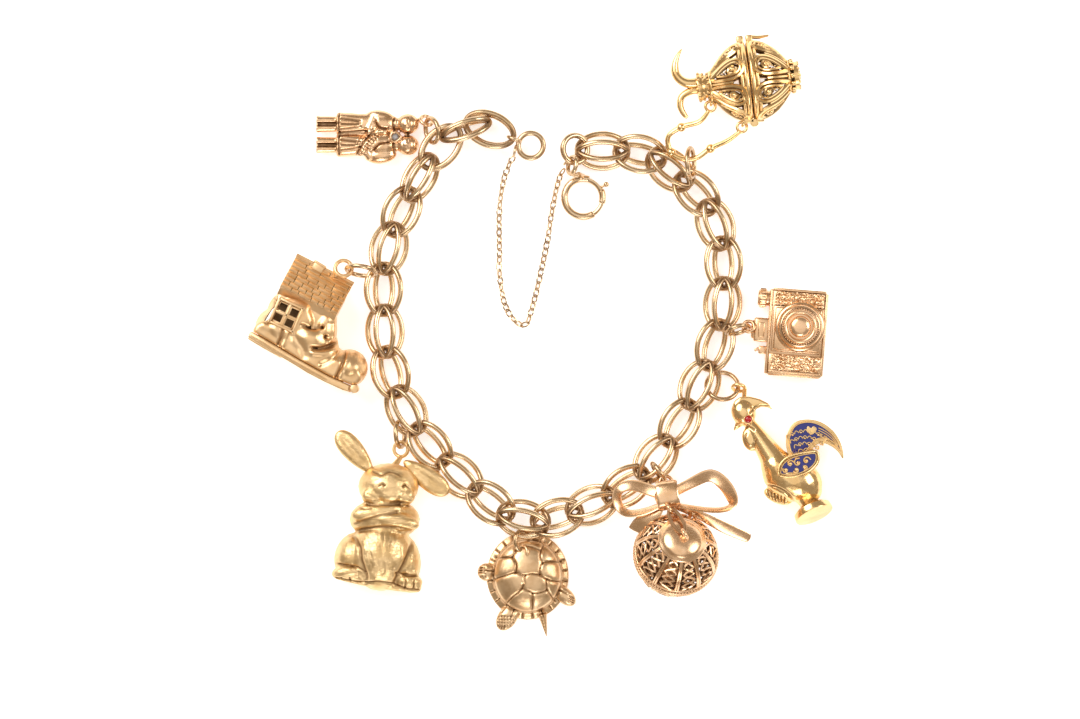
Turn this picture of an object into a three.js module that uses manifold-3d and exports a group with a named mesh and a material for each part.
// A gold double-link charm bracelet laid open on a table: 28 double links, a spring-ring
// clasp, a fine safety chain and eight charms. Millimetres, +Z up, lying on z = 0.
import * as THREE from "three";
import { mergeGeometries, mergeVertices } from "three/addons/utils/BufferGeometryUtils.js";
import Module from "manifold-3d";

const wasm = await Module();
wasm.setup();

// ---- driving dimensions ------------------------------------------------------------
const LINK = { wire: 0.8, steps: 8, sides: 3 };
const OVAL_HALF_LENGTH = 4.12; // centre line of one oval
const OVAL_HALF_WIDTH = 2.5;
const AXIS_HEIGHT = 2.15; // where the chain's middle line runs above the table
const CHAIN_TUBE = 0.45; // radius of the safety chain's outline
const REST_GAP = 0.05; // between the table and a charm's flat side

const COLOUR = {
  chain: [0x9f7f4a, 0.32],
  rose: [0xc08a5a, 0.3],
  satin: [0xb08f52, 0.45],
  yellow: [0xd9a441, 0.22],
};

// Where neighbouring double links meet, from the plain end to the clasp end.
const CHAIN_KNOTS = [
  [-7.5, 33.1], [-10.9, 34.4], [-15.3, 32.9], [-18.9, 28.7], [-22.2, 23.1], [-24.8, 17.6],
  [-26.4, 11.2], [-26.4, 4.3], [-26.1, -2.5], [-24.4, -9.0], [-21.1, -15.0], [-16.7, -20.2],
  [-11.6, -24.9], [-6.4, -29.0], [-1.0, -30.2], [4.6, -28.5], [10.3, -26.2], [15.8, -22.4],
  [19.9, -17.1], [23.5, -11.1], [26.4, -4.7], [28.5, 2.0], [29.0, 8.8], [28.7, 15.2],
  [26.4, 21.4], [22.5, 25.4], [17.9, 29.2], [12.7, 30.3], [5.7, 30.3],
];

// How the two ovals of a double link lean and part. Links alternate between the first two
// rows, and the ones named in LINK_LAY lie differently: bunched up, or lifted by a charm.
const EVEN_LAY = { roll: 42, part: 1.0, height: AXIS_HEIGHT };
const ODD_LAY = { roll: -42, part: 1.05, height: AXIS_HEIGHT };
const LINK_LAY = {
  0: { roll: 12, part: 0.15, height: 2.6 },
  1: { roll: 64, part: 0.15, height: 2.75 },
  2: { roll: 0, part: 0.1, height: 3.3 },
  3: { roll: -52, part: 0.8, height: 2.8 },
  4: { roll: 42, part: 1.0, height: 2.3 },
  9: { roll: -36, part: 0.9, height: 2.45 },
  11: { roll: -42, part: 1.05, height: 2.6 },
  12: { roll: 42, part: 1.0, height: 3.1 },
  13: { roll: -39, part: 0.9, height: 3.9 },
  14: { roll: 42, part: 1.0, height: 3.1 },
  15: { roll: -42, part: 1.05, height: 2.6 },
  17: { roll: -36, part: 0.9, height: 2.5 },
  19: { roll: -32, part: 1.0, height: 2.4 },
};

// Jump rings: the middle, the radius of the wire's middle line, the level direction that
// the ring's plane holds (heading) and its lean from upright. The one under `end` is the
// ring at the chain's clasp end.
const JUMP_RINGS = {
  couple: { at: [-18.53, 33.57, 3.14], radius: 2.0, wire: 0.6, heading: -80, lean: 31 },
  shoe: { at: [-30.04, 10.74, 4.11], radius: 2.4, wire: 0.6, heading: -8, lean: 18 },
  rabbit: { at: [-23.73, -15.83, 2.37], radius: 2.1, wire: 0.6, heading: 93, lean: 19 },
  turtle: { at: [-3.74, -33.14, 2.43], radius: 1.75, wire: 0.6, heading: 89, lean: 46 },
  bauble: { at: [18.32, -22.04, 3.85], radius: 1.8, wire: 0.6, heading: -54, lean: 7 },
  rooster: { at: [28.68, -7.97, 1.83], radius: 2.6, wire: 0.7, heading: -7, lean: -57 },
  camera: { at: [31.16, 1.18, 3.74], radius: 1.8, wire: 0.6, heading: 16, lean: 18 },
  vessel: { at: [23.48, 28.25, 4.18], radius: 2.4, wire: 0.6, heading: 91, lean: 15 },
  end: { at: [4.74, 30.52, 3.32], radius: 2.24, wire: 0.73, heading: 92, lean: 63 },
};
const RING_PLAY = 0.3; // between a jump ring and the loop that hooks it

// The spring ring lies flat. Angles are degrees round its middle, from +X.
const CLASP = {
  at: [6.1, 22.7, 0.64], radius: 3.1, tube: 1.14, bore: 0.78, bolt: 0.4, knob: 30,
  gapFrom: -58, gapTo: -17, boltFrom: -52, boltTo: 34, boreTo: 82, slot: [23, 73],
};

// The plain end's two soldered loops: how far each middle lies beyond the first link's tip.
const END_LOOPS = {
  smallRadius: 1.08, smallWire: 0.56, smallAhead: 0.2, radius: 2.04, wire: 0.72, ahead: 3.1,
};
const COUPLE = { middle: 1.55, apart: 1.75, flat: 0.7 };
const SHOE = { high: 6.55, wall: 0.7, roofFrom: 0.9, roofTo: 11.3, ridge: [14.5, 3.3] };
const SHOE_HINGE = { at: [19.2, -0.6], wide: 1.4, from: 2.2, to: 4.4, gap: 0.3 };
const WINDOW = { pane: 1.2, columns: [2.85, 4.85], rows: [4.0, 5.75], deep: 2 };
const BAUBLE = {
  radius: 7.0, wall: 0.8, middle: 7.05, capTilt: 27.5, capHeading: 70.5, windowWide: 3.2, windowHigh: 6.4,
  windows: 3,
};
const BOW = { knot: [-1.9, 9.6, 8.9], eye: [-1.1, 7.6, 10.6], wide: 1.7, tailWide: 2.2, thick: 0.5 };
const ROOSTER = { middle: 3.3, combHalf: 0.6, tailHalf: 1.0 };
const CAMERA = { front: 4.0, middle: 2.1, lens: [[3.9, 3.6, 5.2], [3.0, 3.0, 5.8], [1.55, 1.3, 6.3]] };
const EYES = { radius: 0.85, wire: 0.46, play: 0.16 };
const BAIL = {
  wire: 0.7, eyeWire: 0.42, lugRadius: 0.75, eyeRadius: 0.8,
  ends: [{ at: [0.9, -1.3, 6.6], toward: 243 }, { at: [5.6, -5.3, 6.6], toward: 240 }],
  route: [
    [-1.6, -4.4, 6.0], [-4.6, -4.9, 5.2], [-6.9, -6.2, 4.6], [-6.7, -8.7, 4.2], [-5.0, -10.0, 4.2],
    [-2.6, -10.1, 4.2], [-0.3, -8.9, 4.6], [2.6, -8.0, 5.8],
  ],
};
const VESSEL = { axis: 1.1, height: 6.6, seam: 7.2, gap: 0.3, wall: 0.7, hinge: [7.2, -5.7] };

// The safety chain's route, from the plain end's ring to the clasp's ring.
const SAFETY_ROUTE = [
  [-5.3, 29.3, 1.9], [-6.2, 27.6, 1.1], [-7.0, 25.0, 0.5], [-7.6, 20.5, 0.5], [-7.6, 14.5, 0.5],
  [-7.5, 9.4, 0.5], [-6.6, 5.0, 0.5], [-4.9, 2.5, 0.5], [-3.3, 2.1, 0.5], [-2.4, 4.2, 0.5],
  [-1.3, 8.5, 0.5], [0.1, 15.0, 0.5], [0.9, 20.0, 0.5], [1.7, 24.2, 0.5], [2.5, 26.6, 1.1],
  [3.4, 27.9, 2.1],
];

// Where each charm's own frame lies on the table, and its turn.
const CHARM_PLACES = {
  couple: [-37.49, 32.93, 0],
  shoe: [-47.92, 0.82, -27],
  rabbit: [-26.08, -34.72, 90],
  turtle: [-3.0, -38.88, 0],
  bauble: [21.03, -35.37, 0],
  rooster: [39.53, -21.97, 0],
  camera: [41.24, 1.63, 85.5],
  vessel: [25.92, 39.45, 7],
};

// ---- small tools -------------------------------------------------------------------
const rad = THREE.MathUtils.degToRad;
const v3 = (x, y, z = 0) => new THREE.Vector3(x, y, z);
const model = new THREE.Group();

/** The manifold-3d solid of a closed three.js geometry. */
function solid(geometry) {
  const bare = geometry.index ? geometry.toNonIndexed() : geometry.clone();
  bare.deleteAttribute("normal");
  bare.deleteAttribute("uv");
  const merged = mergeVertices(bare, 1e-4);
  const mesh = new wasm.Mesh({
    numProp: 3,
    vertProperties: new Float32Array(merged.attributes.position.array),
    triVerts: new Uint32Array(merged.index.array),
  });
  return new wasm.Manifold(mesh);
}

/** The geometry moved by a turn about X, Y, Z (degrees) and then a shift, as a solid. */
function placed(geometry, at = [0, 0, 0], turn = [0, 0, 0], scale = [1, 1, 1]) {
  const matrix = new THREE.Matrix4().compose(
    v3(...at),
    new THREE.Quaternion().setFromEuler(new THREE.Euler(...turn.map(rad), "XYZ")),
    v3(...scale),
  );
  return solid(geometry.clone().applyMatrix4(matrix));
}

/** The union of several solids. */
const fuse = (parts) => parts.reduce((whole, part) => whole.add(part));

/** A named mesh of a solid, put into the model or into the group given. */
function addMesh(name, body, colour, parent = model) {
  const data = body.getMesh();
  const stride = data.numProp;
  const points = new Float32Array((data.vertProperties.length / stride) * 3);
  for (let i = 0; i < points.length / 3; i += 1) {
    points.set(data.vertProperties.subarray(i * stride, i * stride + 3), i * 3);
  }
  const geometry = new THREE.BufferGeometry();
  geometry.setAttribute("position", new THREE.BufferAttribute(points, 3));
  geometry.setIndex(new THREE.BufferAttribute(new Uint32Array(data.triVerts), 1));
  const material = new THREE.MeshStandardMaterial({
    color: colour[0], metalness: 1, roughness: colour[1],
  });
  const mesh = new THREE.Mesh(geometry, material);
  mesh.name = name;
  parent.add(mesh);
  return mesh;
}

/** A group at a place on the table, turned about the vertical. */
function layAt(x, y, turn) {
  const group = new THREE.Group();
  group.position.set(x, y, 0);
  group.rotation.z = rad(turn);
  model.add(group);
  return group;
}

/** An oval curve in the XY plane, which starts at the angle given. */
class OvalCurve extends THREE.Curve {
  constructor(halfLength, halfWidth, start = 0) {
    super();
    this.half = [halfLength, halfWidth];
    this.start = start;
  }

  getPoint(t, target = new THREE.Vector3()) {
    const angle = this.start + 2 * Math.PI * t;
    return target.set(this.half[0] * Math.cos(angle), this.half[1] * Math.sin(angle), 0);
  }
}

/** A closed wire ring, round or oval, in the XY plane. */
function wireRing(halfLength, halfWidth, wire, steps = 12, sides = 4) {
  const curve = new OvalCurve(halfLength, halfWidth);
  return new THREE.TubeGeometry(curve, steps, wire / 2, sides, true);
}

/** A wire with flat ends along a smooth curve through the points. */
function wireAlong(points, wire, steps, sides = 6) {
  const section = new THREE.Shape();
  for (let i = 0; i < sides; i += 1) {
    const angle = (2 * Math.PI * (i + 0.5)) / sides;
    const corner = [(wire / 2) * Math.cos(angle), (wire / 2) * Math.sin(angle)];
    if (i === 0) section.moveTo(...corner);
    else section.lineTo(...corner);
  }
  section.closePath();
  const path = new THREE.CatmullRomCurve3(points.map((p) => v3(...p)));
  return new THREE.ExtrudeGeometry(section, { steps, bevelEnabled: false, extrudePath: path });
}

/** A turned body about the X axis: rows of [distance along X, radius]. */
function turned(rows, sides = 10) {
  const profile = rows.map(([along, radius]) => new THREE.Vector2(radius, along));
  return new THREE.LatheGeometry(profile, sides).rotateZ(-Math.PI / 2);
}

const ball = (radius, wide = 10, high = 7) => new THREE.SphereGeometry(radius, wide, high);

/** A flat shape with the outline given, from z = low to z = high, its edges rounded off. */
function plate(outline, low, high, round = 0, curveSegments = 3) {
  const shape = outline instanceof THREE.Shape
    ? outline : new THREE.Shape(outline.map(([x, y]) => new THREE.Vector2(x, y)));
  const geometry = new THREE.ExtrudeGeometry(shape, {
    depth: high - low - 2 * round,
    curveSegments,
    bevelEnabled: round > 0,
    bevelThickness: round,
    bevelSize: round,
    bevelOffset: -round,
    bevelSegments: 1,
  });
  return geometry.translate(0, 0, low + round);
}

// ---- chain --------------------------------------------------------------------------

/** Where a double link lies: its middle, heading and lay. */
function linkPose(index) {
  const [x0, y0] = CHAIN_KNOTS[index];
  const [x1, y1] = CHAIN_KNOTS[index + 1];
  const lay = LINK_LAY[index] ?? (index % 2 ? ODD_LAY : EVEN_LAY);
  return { x: (x0 + x1) / 2, y: (y0 + y1) / 2, heading: Math.atan2(y1 - y0, x1 - x0), lay };
}

/** The matrix of one oval of a double link; side is 1 or -1. */
function ovalMatrix(index, side) {
  const { x, y, heading, lay } = linkPose(index);
  const matrix = new THREE.Matrix4().makeTranslation(x, y, lay.height);
  matrix.multiply(new THREE.Matrix4().makeRotationZ(heading));
  matrix.multiply(new THREE.Matrix4().makeTranslation(0, side * lay.part, 0));
  return matrix.multiply(new THREE.Matrix4().makeRotationX(side * rad(lay.roll)));
}

function makeChain() {
  const count = CHAIN_KNOTS.length - 1;
  const halfStep = Math.PI / LINK.steps;
  const around = 1 / Math.cos(halfStep); // so that each oval's corners lie just outside its curve
  const curve = new OvalCurve(OVAL_HALF_LENGTH * around, OVAL_HALF_WIDTH * around, halfStep);
  for (let index = 0; index < count; index += 1) {
    const ovals = [1, -1].map((side) => {
      const oval = new THREE.TubeGeometry(curve, LINK.steps, LINK.wire / 2, LINK.sides, true);
      return solid(oval.applyMatrix4(ovalMatrix(index, side)));
    });
    addMesh(`link_${String(index + 1).padStart(2, "0")}`, fuse(ovals), COLOUR.chain);
  }
}

/** The level direction and the rising direction in a jump ring's plane. */
function ringAxes({ heading, lean }) {
  const level = v3(Math.cos(rad(heading)), Math.sin(rad(heading)), 0);
  const rising = v3(-level.y * Math.sin(rad(lean)), level.x * Math.sin(rad(lean)), Math.cos(rad(lean)));
  return { level, rising };
}

/** The matrix that lays the XY plane along two unit directions, at a point. */
function planeMatrix(along, across, at) {
  const normal = along.clone().cross(across);
  return new THREE.Matrix4().makeBasis(along, across, normal).setPosition(at);
}

/** A round jump ring as a geometry. */
function ringShape(ring, steps = 11, sides = 3) {
  const { level, rising } = ringAxes(ring);
  const shape = wireRing(ring.radius, ring.radius, ring.wire, steps, sides);
  return shape.applyMatrix4(planeMatrix(level, rising, v3(...ring.at)));
}

/**
 * A small round loop that hooks a jump ring at an angle round it, in the frame of the
 * group given, with its middle and its far side.
 */
function hook(group, ring, angle, radius, wire, steps = 8, sides = 3) {
  const { level, rising } = ringAxes(ring);
  const out = level.clone().multiplyScalar(Math.cos(rad(angle)));
  out.addScaledVector(rising, Math.sin(rad(angle)));
  const grip = (ring.wire + wire) / 2 + RING_PLAY;
  const middle = v3(...ring.at).addScaledVector(out, ring.radius + radius - grip);
  const normal = level.clone().cross(rising);
  const shape = wireRing(radius, radius, wire, steps, sides);
  shape.applyMatrix4(planeMatrix(out, normal, middle));
  group.updateMatrixWorld();
  const inward = group.matrixWorld.clone().invert();
  const far = middle.clone().addScaledVector(out, radius);
  return {
    body: solid(shape.applyMatrix4(inward)),
    middle: middle.applyMatrix4(inward),
    far: far.applyMatrix4(inward),
  };
}

/** A straight round bar between two points. */
function bar(from, to, wide, sides = 6, wideEnd = wide) {
  const [a, b] = [from, to].map((p) => (Array.isArray(p) ? v3(...p) : p));
  const length = a.distanceTo(b);
  const shape = new THREE.CylinderGeometry(wideEnd / 2, wide / 2, length, sides);
  const turn = new THREE.Quaternion().setFromUnitVectors(v3(0, 1, 0), b.clone().sub(a).normalize());
  const middle = a.clone().add(b).multiplyScalar(0.5);
  return solid(shape.applyMatrix4(new THREE.Matrix4().compose(middle, turn, v3(1, 1, 1))));
}

/** An egg: a ball drawn out to three half sizes, turned about the vertical, at a point. */
function egg(half, at, turn = 0, wide = 7, high = 5) {
  return placed(ball(1, wide, high), at, [0, 0, turn], half);
}

/** The plain end: a small loop round the first link, soldered to the ring the clasp closes on. */
function makePlainEnd() {
  const { smallRadius, smallWire, radius, wire } = END_LOOPS;
  const tip = v3(-OVAL_HALF_LENGTH, 0, 0).applyMatrix4(ovalMatrix(0, 1));
  const back = linkPose(0).heading + Math.PI;
  const ahead = (distance) => [
    tip.x + distance * Math.cos(back), tip.y + distance * Math.sin(back), tip.z,
  ];
  const loop = wireRing(smallRadius, smallRadius, smallWire, 8, 3).rotateX(Math.PI / 2).rotateZ(back);
  const ring = wireRing(radius, radius, wire, 12, 4);
  addMesh("end_ring_left", fuse([
    solid(loop.translate(...ahead(END_LOOPS.smallAhead))),
    solid(ring.translate(...ahead(END_LOOPS.ahead))),
  ]), COLOUR.chain);
}

// ---- clasp and safety chain ---------------------------------------------------------

/** An arc of round wire about the origin, from one angle to another in degrees. */
function wireArc(radius, wire, from, to, steps, sides = 6) {
  const points = Array.from({ length: steps + 1 }, (_, i) => {
    const angle = rad(from + ((to - from) * i) / steps);
    return [radius * Math.cos(angle), radius * Math.sin(angle), 0];
  });
  return wireAlong(points, wire, steps, sides);
}

function makeClasp() {
  const [x, y, z] = CLASP.at;
  const { radius, tube, bore, bolt, knob } = CLASP;
  const group = new THREE.Group();
  group.position.set(x, y, z);
  model.add(group);
  const arc = (wire, from, to, steps, sides, offset = 0) => (
    solid(wireArc(radius + offset, wire, from, to, steps, sides))
  );
  const wall = (tube - bore) / 2;
  const shell = arc(tube, CLASP.gapTo, 360 + CLASP.gapFrom, 14, 6);
  const hole = arc(bore, CLASP.gapTo - 6, CLASP.boreTo, 6, 5);
  const slot = arc(bore, CLASP.slot[0], CLASP.slot[1], 3, 4, bore / 2 + wall);
  const eye = hook(group, JUMP_RINGS.end, -194, 1.4, 0.5);
  const neck = bar(eye.far, v3(-0.2, radius, 0), 0.7, 6, 0.9);
  addMesh("spring_ring_case", fuse([shell.subtract(hole).subtract(slot), eye.body, neck]),
    COLOUR.chain, group);
  const out = (distance) => v3(distance * Math.cos(rad(knob)), distance * Math.sin(rad(knob)), 0);
  const thumb = placed(ball(0.45, 5, 3), out(radius + 1.2).toArray());
  addMesh("spring_ring_bolt", fuse([
    arc(bolt, CLASP.boltFrom, CLASP.boltTo, 6, 4), bar(out(radius), out(radius + 1.1), 0.32, 4), thumb,
  ]), COLOUR.chain, group);
}

function makeSafetyChain() {
  addMesh("safety_chain", solid(wireAlong(SAFETY_ROUTE, 2 * CHAIN_TUBE, 30, 5)), COLOUR.chain);
}

// ---- charms ---------------------------------------------------------------------------

/** A charm's group and jump ring. */
function charmGroup(name) {
  const ringName = name === "rooster" ? "rooster_bail" : `${name}_ring`;
  addMesh(ringName, solid(ringShape(JUMP_RINGS[name])), COLOUR.chain);
  return layAt(...CHARM_PLACES[name]);
}

/** Two figures side by side, arm in arm, lying on their backs. */
function makeCouple() {
  const group = charmGroup("couple");
  const { middle, apart, flat } = COUPLE;
  const coat = [
    [3.3, 0], [3.3, 2.0], [7.3, 1.7], [10.8, 2.1], [12.4, 1.2], [13.8, 0.9], [13.8, 0],
  ];
  const figures = [apart, -apart].flatMap((side) => [
    placed(turned(coat, 6), [0, side, middle], [0, 0, 0], [1, 1, flat]),
    egg([1.55, 1.5, 1.3], [14.8, side, middle], 0, 6, 4),
    ...[0.7, -0.7].map((leg) => bar([0, side + leg, middle], [3.8, side + leg, middle], 1.25, 4)),
  ]);
  const loop = hook(group, JUMP_RINGS.couple, 215, 1.0, 0.5);
  addMesh("couple_charm", fuse([
    ...figures,
    bar([13.04, -0.44, middle], [13.04, -0.44, 2 * middle], 1.9, 6),
    loop.body,
    bar([14.4, 0.2, middle], loop.far, 1.0, 5, 0.6),
  ]), COLOUR.rose, group);
}

/** A laced boot with a roofed house for its leg. It opens at the sole, on a hinge at the toe. */
function makeShoe() {
  const group = charmGroup("shoe");
  const { high, wall, roofFrom, roofTo, ridge } = SHOE;
  const low = REST_GAP;
  const upper = [
    [0.0, 0.25], [9.0, -0.35], [14.6, -0.55], [18.9, -0.25], [19.7, 1.5], [19.2, 4.1], [17.6, 4.95],
    [13.6, 4.4], [12.3, 6.1], [10.5, 7.9], [10.5, 9.0], [1.2, 9.0], [1.2, 6.0],
  ];
  const inside = [
    [0.9, -0.6], [17.8, -1.2], [18.7, 1.6], [18.3, 3.6], [13.0, 3.5], [10.0, 7.0], [2.0, 7.0],
    [1.9, 5.6],
  ];
  const roofEnd = [
    [8.2, low], [8.2, 0.5], [7.4, 0.6], [7.4, 6.0], [8.2, 6.2], [8.2, 7.0], ridge,
  ];
  const roof = plate(roofEnd, roofFrom, roofTo).rotateX(Math.PI / 2).rotateZ(Math.PI / 2);
  const panes = WINDOW.columns.flatMap((x) => WINDOW.rows.map((y) => (
    solid(new THREE.BoxGeometry(WINDOW.pane, WINDOW.pane, WINDOW.deep).translate(x, y, high))
  )));
  const hinge = SHOE_HINGE;
  const lug = (from, to) => bar([...hinge.at, from], [...hinge.at, to], hinge.wide, 8);
  const relief = (from, to) => (
    bar([...hinge.at, from], [...hinge.at, to], hinge.wide + 2 * hinge.gap, 8)
  );
  const loop = hook(group, JUMP_RINGS.shoe, 180, 1.35, 0.5);
  const boot = solid(plate(upper, low, high)).subtract(solid(plate(inside, low + wall, high - wall)));
  const chimney = new THREE.BoxGeometry(1.9, 1.6, 1.6).translate(5.0, 14.4, ridge[1]);
  addMesh("shoe_upper", fuse([
    boot.subtract(fuse(panes)).subtract(relief(hinge.from - hinge.gap, hinge.to + hinge.gap)),
    solid(roof), solid(chimney), loop.body,
    bar([7.4, 13.6, 3.4], loop.far, 0.9, 5, 0.6),
    lug(low, hinge.from - hinge.gap), lug(hinge.to + hinge.gap, high),
  ]), COLOUR.rose, group);
  const sole = [
    [6.4, -1.15], [9.0, -1.5], [11.2, -1.75], [14.6, -1.75], [18.9, -1.5], [18.8, -0.62],
    [14.6, -0.88], [9.0, -0.68], [0.0, -0.1], [0.0, -0.95],
  ];
  const soleBody = solid(plate(sole, low, high));
  const ends = fuse([relief(low - 1, hinge.from), relief(hinge.to, high + 1)]);
  const knuckle = lug(hinge.from, hinge.to);
  addMesh("shoe_sole", fuse([soleBody.subtract(ends), knuckle]), COLOUR.rose, group);
}

/** A sitting rabbit with its paws folded, lying on its back. */
function makeRabbit() {
  const group = charmGroup("rabbit");
  const loop = hook(group, JUMP_RINGS.rabbit, 180, 1.2, 0.5);
  addMesh("rabbit_charm", fuse([
    egg([6.2, 6.7, 4.3], [-0.6, 1.2, 4.4], 0, 8, 6),
    egg([3.5, 5.5, 3.8], [4.9, 0.2, 4.3], 0, 6, 4),
    egg([3.8, 4.5, 3.7], [10.4, -0.6, 4.3], 0, 7, 5),
    egg([4.0, 3.6, 3.0], [-2.6, 5.4, 3.4], -20, 6, 4),
    egg([4.0, 3.6, 3.0], [-2.6, -2.9, 3.4], 20, 6, 4),
    egg([1.5, 2.1, 1.6], [-5.1, 5.4, 5.6], 0, 5, 3),
    egg([1.5, 2.1, 1.6], [-5.1, -3.9, 5.6], 0, 5, 3),
    egg([4.3, 1.4, 1.0], [15.9, 4.9, 3.4], 41, 5, 4),
    egg([4.3, 1.4, 1.0], [11.6, -6.6, 3.4], 53, 5, 4),
    loop.body, bar([12.6, -1.2, 4.0], loop.far, 1.2, 6, 0.6),
  ]), COLOUR.satin, group);
}

/** A turtle, shell upwards, with its loop on the shell's front. */
function makeTurtle() {
  const group = charmGroup("turtle");
  const rim = new THREE.CylinderGeometry(1, 1, 0.35, 12).rotateX(Math.PI / 2);
  const dome = ball(1, 10, 6);
  const cut = new THREE.BoxGeometry(20, 20, 10).translate(0, -2, -4.7);
  const loop = hook(group, JUMP_RINGS.turtle, 180, 1.1, 0.6);
  addMesh("turtle_charm", fuse([
    placed(rim, [0, 0, 0.43], [0, 0, 0], [6.8, 7.2, 1]),
    placed(dome, [0, -2.1, 0.4], [0, 0, 0], [6.5, 6.0, 4.6]).subtract(solid(cut)),
    egg([1.7, 1.3, 0.7], [-6.9, 0.9, 0.9], 10, 5, 3),
    egg([1.7, 1.3, 0.7], [6.4, -3.4, 0.9], -35, 5, 3),
    egg([2.1, 1.3, 0.7], [-3.8, -7.2, 0.9], 60, 5, 3),
    bar([2.5, -6.6, 0.9], [3.2, -10.0, 0.5], 1.4, 4, 0.4),
    loop.body, bar([loop.far.x, -1.6, 2.6], loop.far, 1.4, 6, 0.8),
  ]), COLOUR.chain, group);
}

/** A hollow pierced ball under a solid cap, hanging from a ribbon bow. */
function makeBauble() {
  const group = charmGroup("bauble");
  const { radius, wall, middle, capTilt, capHeading } = BAUBLE;
  const shell = placed(ball(radius, 10, 6), [0, 0, middle], [90, 0, 0])
    .subtract(placed(ball(radius - wall, 8, 4), [0, 0, middle], [90, 0, 0]));
  const window = (longitude) => {
    const box = new THREE.BoxGeometry(3 * radius, BAUBLE.windowWide, BAUBLE.windowHigh);
    return solid(box.rotateZ(rad(longitude)).translate(0, 0, middle - 0.6));
  };
  const windows = Array.from({ length: BAUBLE.windows }, (_, i) => window((180 * i) / BAUBLE.windows));
  const axis = v3(Math.cos(rad(capHeading)) * Math.sin(rad(capTilt)),
    Math.sin(rad(capHeading)) * Math.sin(rad(capTilt)), Math.cos(rad(capTilt)));
  const along = (distance) => v3(0, 0, middle).addScaledVector(axis, distance);
  const cap = bar(along(radius - 1.9), along(radius + 0.4), 7.8, 8, 1.6);
  const eyes = linkEyes(along(radius + 1.4), v3(...BOW.eye));
  addMesh("bauble_ball", fuse([
    shell.subtract(fuse(windows)), cap, eyes.first, bar(along(radius), eyes.startBack, 1.0, 5, 0.6),
  ]), COLOUR.rose, group);
  addMesh("bauble_link", eyes.link, COLOUR.rose, group);
  return { group, eye: eyes.second, eyeBack: eyes.endBack };
}

/** Two small eyes that face each other, the oval link that joins them and each eye's far side. */
function linkEyes(start, end) {
  const { radius, wire, play } = EYES;
  const along = end.clone().sub(start);
  const reach = along.length() / 2;
  along.normalize();
  const level = v3(along.y, -along.x, 0).normalize();
  const upright = along.clone().cross(level);
  const eye = (at) => solid(wireRing(radius, radius, wire, 8, 3)
    .applyMatrix4(planeMatrix(along, upright, at)));
  const half = reach - (radius - wire - play);
  const link = wireRing(half, radius, wire, 10, 3);
  link.applyMatrix4(planeMatrix(along, level, start.clone().add(end).multiplyScalar(0.5)));
  return {
    first: eye(start),
    second: eye(end),
    link: solid(link),
    startBack: start.clone().addScaledVector(along, -radius),
    endBack: end.clone().addScaledVector(along, radius),
  };
}

/** A ribbon with a flat section along a curve through the points. */
function ribbon(points, wide, thick, steps) {
  const section = new THREE.Shape([
    new THREE.Vector2(-thick / 2, -wide / 2), new THREE.Vector2(thick / 2, -wide / 2),
    new THREE.Vector2(thick / 2, wide / 2), new THREE.Vector2(-thick / 2, wide / 2),
  ]);
  const path = new THREE.CatmullRomCurve3(points.map((p) => v3(...p)));
  return solid(new THREE.ExtrudeGeometry(section, { steps, bevelEnabled: false, extrudePath: path }));
}

/** The bow over the ball: a knot, two ribbon loops, two tails and its own eyes. */
function makeBow({ group, eye, eyeBack }) {
  const { knot } = BOW;
  const high = knot[2];
  const left = [
    [-2.2, 9.6, high], [-5.4, 12.0, high], [-8.8, 12.3, high - 0.2], [-10.2, 10.4, high - 0.5],
    [-9.2, 8.1, high - 0.4], [-5.8, 8.2, high - 0.2], [-2.4, 8.8, high - 0.4],
  ];
  const right = [
    [-1.4, 9.8, high], [1.8, 12.2, high], [5.4, 14.0, high - 0.2], [9.2, 12.9, high - 0.5],
    [10.2, 10.2, high - 0.4], [6.4, 9.3, high - 0.2], [-1.2, 8.9, high - 0.3],
  ];
  const tails = [
    [[-2.2, 8.8, high - 0.6], [-5.0, 6.9, high - 1.2], [-7.2, 4.6, high - 1.8]],
    [[-1.6, 8.8, high - 0.5], [4.4, 7.6, high - 1.2], [11.6, 3.2, high - 2.6]],
  ];
  const loop = hook(group, JUMP_RINGS.bauble, 0, 1.0, 0.5);
  addMesh("bauble_bow", fuse([
    egg([1.5, 1.9, 1.3], knot, 0, 6, 4),
    ribbon(left, BOW.wide, BOW.thick, 7), ribbon(right, BOW.wide, BOW.thick, 7),
    ...tails.map((tail) => ribbon(tail, BOW.tailWide, BOW.thick, 2)),
    loop.body, bar(knot, loop.far, 1.1, 5, 0.6),
    eye, bar(knot, eyeBack, 1.0, 5, 0.6),
  ]), COLOUR.rose, group);
}

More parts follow.
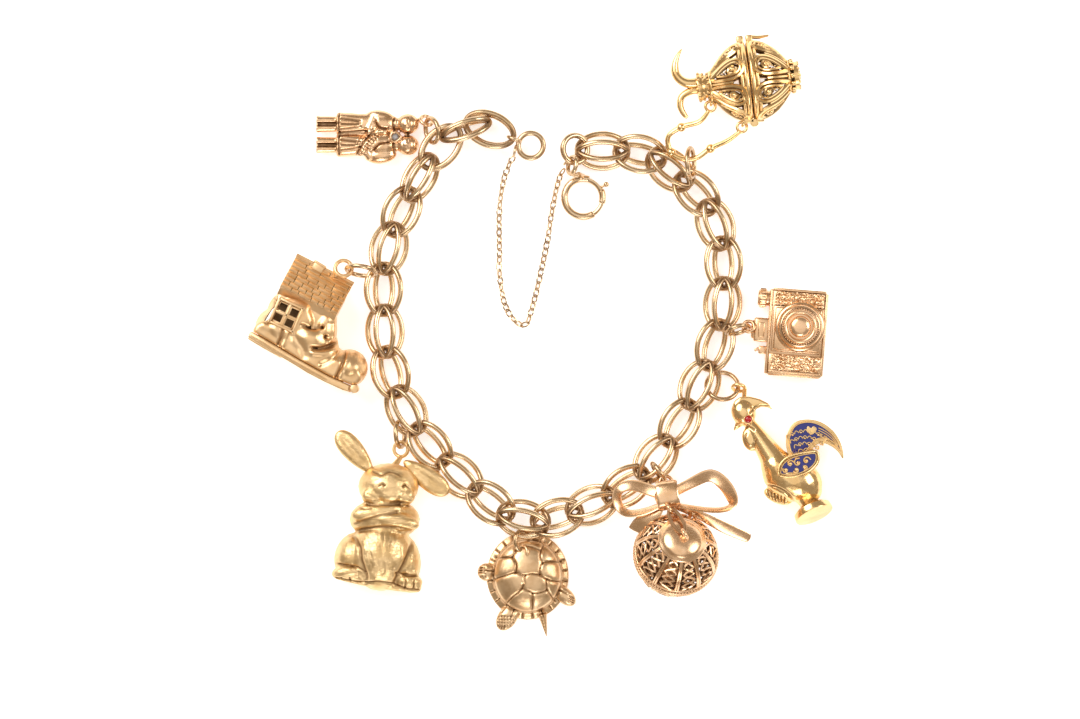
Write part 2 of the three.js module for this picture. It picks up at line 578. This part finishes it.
/** A rooster standing on a round base, lying on its side. */
function makeRooster() {
  const group = charmGroup("rooster");
  const { middle, combHalf, tailHalf } = ROOSTER;
  const comb = [[-5.4, 11.9], [-2.6, 10.3], [-3.0, 9.0], [-6.6, 9.2], [-8.2, 12.3]];
  const tail = [
    [5.0, 0.6], [6.3, 4.0], [8.9, 2.2], [8.7, 4.0], [6.3, 7.1], [2.7, 8.4], [-0.4, 6.6],
    [-0.6, 3.4], [1.0, 0.6],
  ];
  const loop = hook(group, JUMP_RINGS.rooster, 0, 1.0, 0.5);
  addMesh("rooster_charm", fuse([
    egg([5.4, 3.9, 3.1], [0.4, -1.2, middle], -22, 8, 6),
    egg([4.4, 2.5, 2.2], [-3.8, 4.2, middle], 122, 6, 4),
    egg([2.3, 2.1, 1.9], [-6.4, 8.2, middle], 0, 6, 4),
    egg([0.9, 1.3, 0.7], [-6.3, 5.2, middle], 0, 5, 3),
    egg([2.9, 1.9, 2.0], [-1.6, -3.9, middle], -50, 5, 4),
    bar([-7.2, 7.9, middle], [-9.1, 6.8, middle], 1.6, 5, 0.3),
    solid(plate(comb, middle - combHalf, middle + combHalf)),
    solid(plate(tail, middle - tailHalf, middle + tailHalf)),
    bar([1.8, -3.2, middle], [3.9, -6.9, middle], 1.8, 5),
    bar([3.7, -6.4, middle], [4.5, -8.0, middle], 5.8, 9, 6.4),
    loop.body, bar([-7.2, 11.0, middle], loop.far, 0.9, 5, 0.6),
  ]), COLOUR.yellow, group);
}

/** A camera lying on its back, lens upwards. */
function makeCamera() {
  const group = charmGroup("camera");
  const { front, middle, lens } = CAMERA;
  const outline = [
    [5.7, 5.2], [-7.9, 5.2], [-8.3, 4.6], [-8.3, -3.7], [-7.9, -4.3], [5.6, -4.3], [6.0, -3.7], [6.1, 4.6],
  ];
  const loop = hook(group, JUMP_RINGS.camera, 0, 0.9, 0.5);
  addMesh("camera_charm", fuse([
    solid(plate(outline, REST_GAP, front)),
    ...lens.map(([wide, narrow, top]) => bar([0, 0, middle], [0, 0, top], 2 * wide, 12, 2 * narrow)),
    solid(new THREE.BoxGeometry(4.2, 3.4, 3.2).translate(-1.0, 6.3, middle)),
    bar([4.3, 4.8, middle], [4.3, 7.3, middle], 2.6, 8),
    solid(new THREE.BoxGeometry(1.4, 1.6, 1.6).translate(-4.2, 5.9, middle)),
    loop.body, bar([-0.8, 7.4, 2.6], loop.far, 1.0, 5, 0.6),
  ]), COLOUR.rose, group);
}

/** The flask's wire bail, threaded through its jump ring, and the lug at each end of it. */
function makeBail(group) {
  const { wire, eyeWire, lugRadius, eyeRadius, route, ends } = BAIL;
  const upright = v3(0, 0, 1);
  const lugs = [];
  const parts = [];
  const points = route.map((p) => [...p]);
  ends.forEach(({ at, toward }, end) => {
    const out = v3(Math.cos(rad(toward)), Math.sin(rad(toward)), 0);
    const lug = wireRing(lugRadius, lugRadius, eyeWire, 8, 3);
    lugs.push(solid(lug.applyMatrix4(planeMatrix(out, upright, v3(...at)))));
    const reach = lugRadius + eyeRadius - eyeWire - RING_PLAY / 2;
    const middle = v3(...at).addScaledVector(out, reach);
    const eye = wireRing(eyeRadius, eyeRadius, eyeWire, 8, 3);
    parts.push(solid(eye.applyMatrix4(planeMatrix(out, out.clone().cross(upright), middle))));
    const tip = middle.addScaledVector(out, eyeRadius).toArray();
    if (end === 0) points.unshift(tip);
    else points.push(tip);
  });
  parts.push(solid(wireAlong(points, wire, 18, 4)));
  addMesh("vessel_bail", fuse(parts), COLOUR.yellow, group);
  return { lugs };
}

/** A pierced round flask in two halves hinged at the seam, with its spout, handle and bail. */
function makeVessel() {
  const group = charmGroup("vessel");
  const { axis, height, seam, gap, wall, hinge } = VESSEL;
  const lathe = (rows, sides = 8) => placed(turned(rows, sides), [0, axis, height]);
  const windows = (x, wide) => [30, 90, 150].map((angle) => {
    const box = new THREE.BoxGeometry(wide, 18, 2.8).rotateX(rad(angle));
    return solid(box.translate(x, axis, height));
  });
  const lugs = (side) => {
    const near = seam + side * gap / 2;
    const far = near + side * 1.3;
    return solid(new THREE.BoxGeometry(Math.abs(far - near), 2.0, 2.4)
      .translate((near + far) / 2, axis + 6.6, height));
  };
  const leaf = (side, from, to) => solid(new THREE.BoxGeometry(1.7, 1.3, to - from)
    .translate(hinge[0] + side * 0.85, hinge[1] + 0.65, (from + to) / 2));
  const barrel = (from, to) => bar([...hinge, from], [...hinge, to], 1.3, 8);
  const relief = (from, to) => bar([...hinge, from], [...hinge, to], 1.9, 8);
  const rows = {
    neck: [[-1.3, 0], [-1.3, 2.0], [-0.3, 1.6], [1.2, 2.0], [3.0, 4.5], [4.9, 5.9], [seam - gap / 2, 6.5]],
    foot: [[seam + gap / 2, 6.5], [9.4, 6.1], [12.0, 4.6], [13.6, 2.4], [14.4, 2.0], [15.5, 2.7], [15.5, 0]],
  };
  const neckInside = [[seam - gap / 2, 6.5 - wall], [5.2, 5.2], [3.4, 3.9], [2.0, 2.0], [1.6, 0]];
  const footInside = [[13.0, 0], [12.6, 2.0], [11.4, 3.9], [9.2, 5.3], [seam + gap / 2, 6.5 - wall]];
  const wire = 1.3;
  const spout = [[-0.5, axis + 0.8, height], [-3.6, axis + 1.2, height], [-4.6, axis + 3.0, height],
    [-4.2, axis + 5.0, height], [-3.0, axis + 6.4, height]];
  const strap = [[-0.6, axis - 0.8, height], [-3.4, axis - 0.7, height], [-4.3, axis - 2.4, height],
    [-3.9, axis - 4.0, height]];
  const bail = makeBail(group);
  addMesh("vessel_neck_half", fuse([
    lathe([...rows.neck, ...neckInside]).subtract(fuse(windows(4.4, 2.6)))
      .subtract(relief(height - 0.95, height + 0.95)),
    lugs(-1), barrel(height + 0.9, height + 2.2), barrel(height - 2.2, height - 0.9),
    leaf(-1, height + 0.9, height + 2.2), leaf(-1, height - 2.2, height - 0.9),
    solid(wireAlong(spout, wire, 5, 4)), solid(wireAlong(strap, wire, 4, 4)), ...bail.lugs,
  ]), COLOUR.yellow, group);
  addMesh("vessel_foot_half", fuse([
    lathe([...footInside, ...rows.foot]).subtract(fuse(windows(10.2, 2.8)))
      .subtract(relief(height + 0.6, height + 2.5)).subtract(relief(height - 2.5, height - 0.6)),
    lugs(1), barrel(height - 0.6, height + 0.6), leaf(1, height - 0.6, height + 0.6),
  ]), COLOUR.yellow, group);
}

makeChain();
makePlainEnd();
addMesh("end_ring_right", solid(ringShape(JUMP_RINGS.end, 14)), COLOUR.chain);
makeClasp();
makeSafetyChain();
makeCouple();
makeShoe();
makeRabbit();
makeTurtle();
makeBow(makeBauble());
makeRooster();
makeCamera();
makeVessel();

// The origin is the middle of the whole bracelet's outline, on the table.
const extent = new THREE.Box3().setFromObject(model);
const middle = extent.getCenter(v3(0, 0));
model.position.set(-middle.x, -middle.y, -extent.min.z);

export default model;
